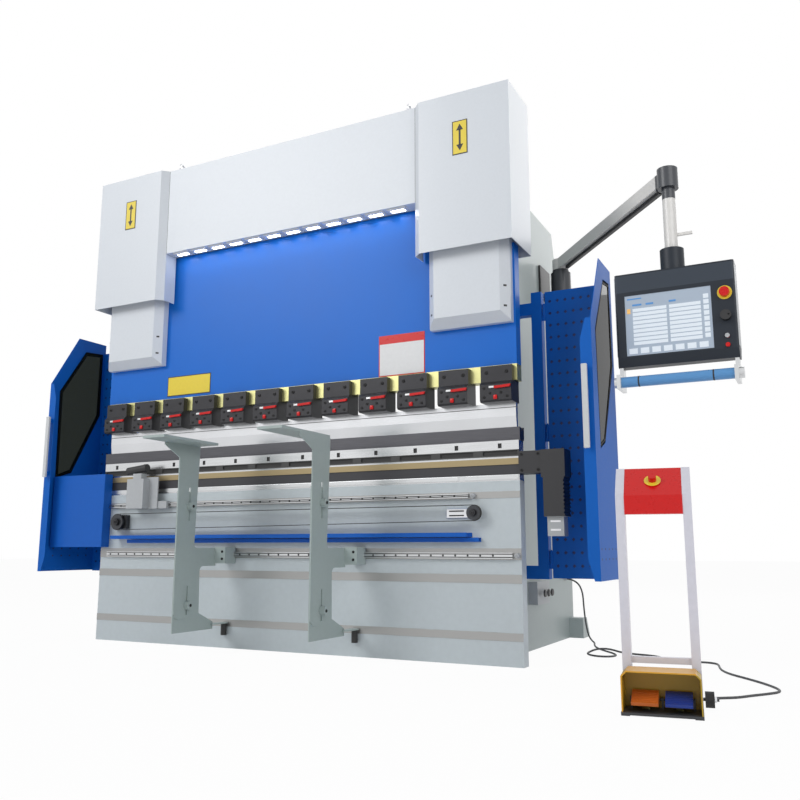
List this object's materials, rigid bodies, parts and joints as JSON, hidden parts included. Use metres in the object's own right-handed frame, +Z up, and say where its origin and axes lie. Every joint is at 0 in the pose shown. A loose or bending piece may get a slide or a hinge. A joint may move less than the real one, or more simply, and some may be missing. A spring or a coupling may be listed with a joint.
{
  "type": "press brake",
  "caption": "Hydraulic press brake with segmented tooling, front sheet supports, side guards, pendant control and a foot pedal stand on a cable.",
  "frame": {"origin": "centre of the bed plate's foot, on the floor", "axes": "+X along the bend to the pendant's side, -Y towards the operator, +Z up"},
  "size_m": [3.8741, 2.2547, 2.698],
  "materials": {
    "blue_paint": "gloss",
    "light_blue": "gloss",
    "dark_paint": "satin",
    "grey_paint": "satin",
    "bare_steel": "machined",
    "dark_steel": "hardened",
    "zinc": "zinc plated",
    "chrome": "polished",
    "aluminium": "satin",
    "black_plastic": "matte",
    "red_plastic": "gloss",
    "yellow_paint": "gloss",
    "white_paint": "satin",
    "rubber": "matte",
    "glass": "tinted",
    "lamp": "diffusing",
    "screen": "gloss",
    "orange_plastic": "gloss",
    "belt": "toothed"
  },
  "bodies": {
    "machine": {"bed_plate": "grey_paint", "crowning_table": "bare_steel", "lower_die": "dark_steel", "side_frame_left": "grey_paint", "side_frame_right": "grey_paint", "cylinders": "dark_paint", "upper_cross_beam": "grey_paint", "rear_cross_beam": "grey_paint", "oil_tank": "grey_paint", "upper_covers": "white_paint", "fascia": "white_paint", "fascia_lamps": "lamp", "lifting_eyes": "zinc", "upper_rail": "bare_steel", "lower_rail": "bare_steel", "drive_belt": "belt", "belt_pulleys": "aluminium", "belt_tray": "blue_paint", "crowning_motor": "dark_paint", "guard_posts": "blue_paint", "bed_box": "blue_paint", "pendant_bracket": "black_plastic", "frame_outlets": "grey_paint", "guard_panel_right": "blue_paint", "guard_window_right": "glass", "tool_board_right": "blue_paint", "stand_base": "dark_paint", "stand_hood": "yellow_paint", "stand_posts": "white_paint", "stop_box": "red_plastic", "stop_button": "red_plastic", "pedal_cable": "black_plastic"},
    "ram": {"ram_beam": "blue_paint", "ram_strip": "bare_steel", "piston_rods": "chrome", "tool_clamps": "dark_steel", "clamp_levers": "red_plastic", "punch": "dark_steel", "ram_covers": "white_paint"},
    "sensor": {"sensor_carriage": "grey_paint", "sensor_camera": "black_plastic"},
    "support_left": {"support_arm_left": "grey_paint"},
    "slider_left": {"support_slider_left": "grey_paint"},
    "support_right": {"support_arm_right": "grey_paint"},
    "slider_right": {"support_slider_right": "grey_paint"},
    "guard_left": {"guard_panel_left": "blue_paint", "guard_window_left": "glass", "tool_board_left": "blue_paint"},
    "pendant_arm": {"pendant_arm": "grey_paint"},
    "console": {"pendant_console": "dark_paint", "console_screen": "screen", "console_buttons": "red_plastic", "console_handle": "light_blue"},
    "jog_dial": {"jog_knob": "black_plastic"},
    "pedal_left": {"pedal_left": "orange_plastic"},
    "pedal_right": {"pedal_right": "blue_paint"},
    "wheel": {"stand_wheel": "rubber"}
  },
  "joints": [
    {"name": "ram_stroke", "type": "slide", "parent": "machine", "child": "ram", "axis": [0, 0, 1], "range_m": [0, 0.12]},
    {"name": "sensor_slide", "type": "slide", "parent": "machine", "child": "sensor", "axis": [1, 0, 0], "range_m": [0, 1.74]},
    {"name": "support_left_slide", "type": "slide", "parent": "machine", "child": "support_left", "axis": [1, 0, 0], "range_m": [-0.78, 0.2]},
    {"name": "support_left_height", "type": "slide", "parent": "support_left", "child": "slider_left", "axis": [0, 0, 1], "range_m": [-0.08, 0.035]},
    {"name": "support_right_slide", "type": "slide", "parent": "machine", "child": "support_right", "axis": [1, 0, 0], "range_m": [-0.3, 0.73]},
    {"name": "support_right_height", "type": "slide", "parent": "support_right", "child": "slider_right", "axis": [0, 0, 1], "range_m": [-0.08, 0.035]},
    {"name": "guard_left_swing", "type": "hinge", "parent": "machine", "child": "guard_left", "pos_m": [-1.2955, 0.2585, 0.43], "axis": [0, 0, -1], "range_deg": [0, 90]},
    {"name": "arm_swivel", "type": "hinge", "parent": "machine", "child": "pendant_arm", "pos_m": [1.19, 0.955, 1.99], "axis": [0, 0, 1], "range_deg": [0, 70]},
    {"name": "console_swivel", "type": "hinge", "parent": "pendant_arm", "child": "console", "pos_m": [1.937, 0.045, 1.72], "axis": [0, 0, 1], "range_deg": [-90, 90]},
    {"name": "jog_dial_turn", "type": "hinge", "parent": "console", "child": "jog_dial", "pos_m": [2.143, -0.03, 1.436], "axis": [0, -1, 0], "continuous": true},
    {"name": "pedal_left_press", "type": "hinge", "parent": "machine", "child": "pedal_left", "pos_m": [1.89685, -0.76291, 0.038], "axis": [0.9903, 0.1392, 0], "range_deg": [0, 12], "stiffness_Nm_per_rad": 8, "springref_deg": -8.59},
    {"name": "pedal_right_press", "type": "hinge", "parent": "machine", "child": "pedal_right", "pos_m": [1.99587, -0.74899, 0.038], "axis": [0.9903, 0.1392, 0], "range_deg": [0, 12], "stiffness_Nm_per_rad": 8, "springref_deg": -8.59},
    {"name": "stand_wheel_spin", "type": "hinge", "parent": "machine", "child": "wheel", "pos_m": [2.06997, -0.62952, 0.028], "axis": [0.9903, 0.1392, 0], "continuous": true}
  ]
}
